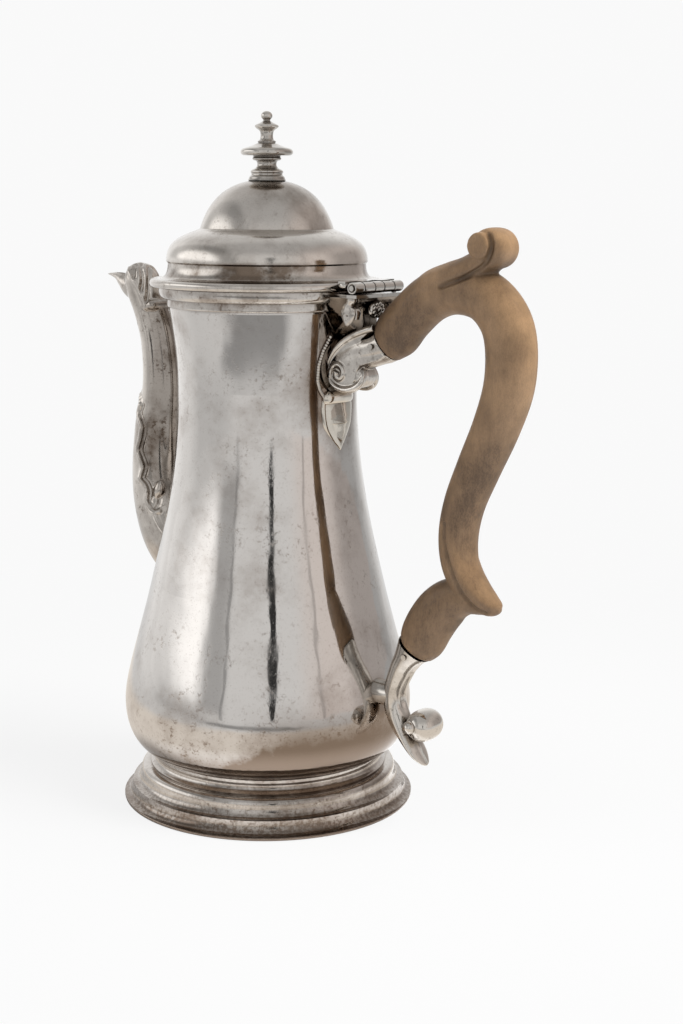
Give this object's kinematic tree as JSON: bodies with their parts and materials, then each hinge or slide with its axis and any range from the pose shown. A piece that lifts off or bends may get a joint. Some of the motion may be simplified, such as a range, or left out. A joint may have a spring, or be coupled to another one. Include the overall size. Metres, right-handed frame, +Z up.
{
  "type": "coffee pot",
  "caption": "Tall baluster silver coffee pot with a hinged domed lid and turned finial, a cast swan-neck spout and a carved wooden scroll handle pinned into cast sockets.",
  "frame": {"origin": "centre of the foot's flat base", "axes": "+Z up, +X towards the handle, -X towards the spout, the lid's hinge pin along Y"},
  "size_m": [0.19, 0.1068, 0.248],
  "materials": {
    "raised_silver": "hand-raised polished silver, softly worn",
    "turned_silver": "polished silver with tarnish in the mouldings",
    "lid_silver": "soft satin silver",
    "cast_silver": "cast and chased silver with dark recesses",
    "hinge_silver": "polished silver hinge work",
    "wood": "matt carved fruitwood"
  },
  "bodies": {
    "pot": {"body": "raised_silver", "rim_moulding": "turned_silver", "foot": "turned_silver", "foot_rim_wire": "turned_silver", "foot_collar": "turned_silver", "spout": "cast_silver", "upper_socket": "cast_silver", "upper_socket_plate": "cast_silver", "upper_socket_drop": "cast_silver", "lower_socket": "cast_silver", "lower_socket_pad": "cast_silver", "handle": "wood", "upper_handle_pin": "cast_silver", "lower_handle_pin": "cast_silver", "hinge_shelf": "hinge_silver", "hinge_bracket": "cast_silver", "hinge_body_knuckles": "hinge_silver", "hinge_pin": "hinge_silver"},
    "lid": {"hinge_lid_knuckles": "hinge_silver", "hinge_lid_leaf": "hinge_silver", "lid": "lid_silver", "lid_rim_wire": "lid_silver", "lid_bezel": "lid_silver", "finial": "turned_silver", "finial_washer": "lid_silver", "finial_nut": "lid_silver"}
  },
  "joints": [
    {"name": "lid_hinge", "type": "hinge", "parent": "pot", "child": "lid", "pos_m": [0.048, 0, 0.1888], "axis": [0, 1, 0], "range_deg": [0, 100]}
  ]
}
